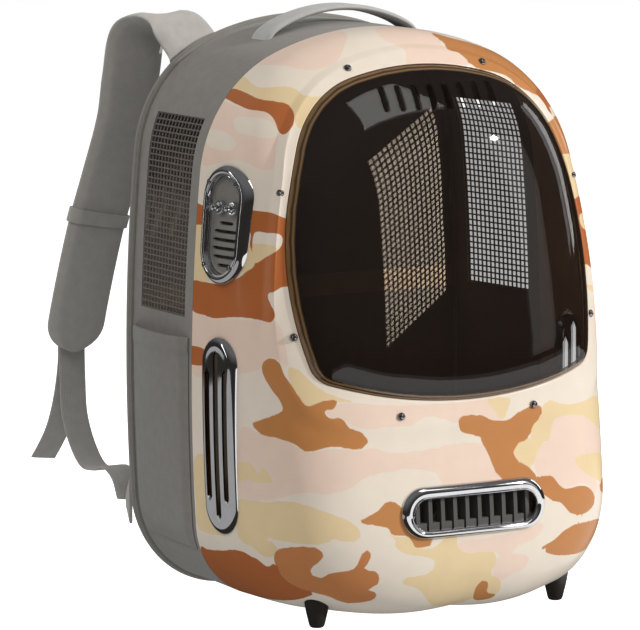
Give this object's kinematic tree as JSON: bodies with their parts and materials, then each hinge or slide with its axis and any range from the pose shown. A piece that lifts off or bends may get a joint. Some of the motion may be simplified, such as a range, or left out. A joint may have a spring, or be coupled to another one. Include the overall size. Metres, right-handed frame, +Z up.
{
  "type": "pet carrier backpack",
  "caption": "Upright pet carrier backpack: a hard rounded front shell with a smoked bubble window, vents and a grille, on a soft cloth back with mesh, pockets, handle and shoulder straps.",
  "frame": {"origin": "on the surface that the bag stands on, under the middle of its bounding box", "axes": "+Z up, the shell and its window face -Y, +X to the right of a viewer who faces the window"},
  "size_m": [0.3517, 0.4177, 0.4685],
  "materials": {
    "shell": "satin plastic printed with desert camouflage",
    "window": "smoked brown clear plastic, polished",
    "chrome": "polished plated plastic",
    "grey_plastic": "satin moulded plastic",
    "grey_cloth": "dense woven cloth",
    "net": "square open net",
    "foot_plastic": "dark moulded plastic",
    "handle_cloth": "light webbing",
    "strap_cloth": "padded woven cloth",
    "webbing": "flat webbing"
  },
  "bodies": {
    "bag": {"front_shell": "shell", "window_bubble": "window", "window_screw_left_1": "chrome", "window_screw_left_2": "chrome", "window_screw_left_3": "chrome", "window_screw_left_4": "chrome", "window_screw_right_1": "chrome", "window_screw_right_2": "chrome", "window_screw_right_3": "chrome", "window_screw_right_4": "chrome", "grille_bezel": "chrome", "grille_louvers": "grey_plastic", "side_vent_left": "chrome", "side_vent_right": "chrome", "control_bezel": "chrome", "control_panel": "grey_plastic", "switch_collar_1": "chrome", "switch_collar_2": "chrome", "gusset": "grey_cloth", "side_mesh_left": "net", "side_mesh_right": "net", "back_rim": "grey_cloth", "back_panel": "grey_cloth", "side_pocket_left": "grey_cloth", "side_pocket_right": "grey_cloth", "front_foot_left": "foot_plastic", "front_foot_right": "foot_plastic", "top_handle": "handle_cloth", "strap_pad_left": "strap_cloth", "strap_keeper_left": "strap_cloth", "strap_buckle_left": "grey_plastic", "strap_webbing_left": "webbing", "strap_tail_left": "webbing", "strap_anchor_left": "strap_cloth", "strap_pad_right": "strap_cloth", "strap_keeper_right": "strap_cloth", "strap_buckle_right": "grey_plastic", "strap_webbing_right": "webbing", "strap_tail_right": "webbing", "strap_anchor_right": "strap_cloth"},
    "lever_1": {"switch_lever_1": "chrome"},
    "lever_2": {"switch_lever_2": "chrome"}
  },
  "joints": [
    {"name": "switch_1_toggle", "type": "hinge", "parent": "bag", "child": "lever_1", "pos_m": [-0.15885, -0.08953, 0.32219], "axis": [0.0848, -0.9964, 0], "range_deg": [-12, 12]},
    {"name": "switch_2_toggle", "type": "hinge", "parent": "bag", "child": "lever_2", "pos_m": [-0.15654, -0.1048, 0.32222], "axis": [0.2168, -0.9762, 0], "range_deg": [-12, 12]}
  ]
}
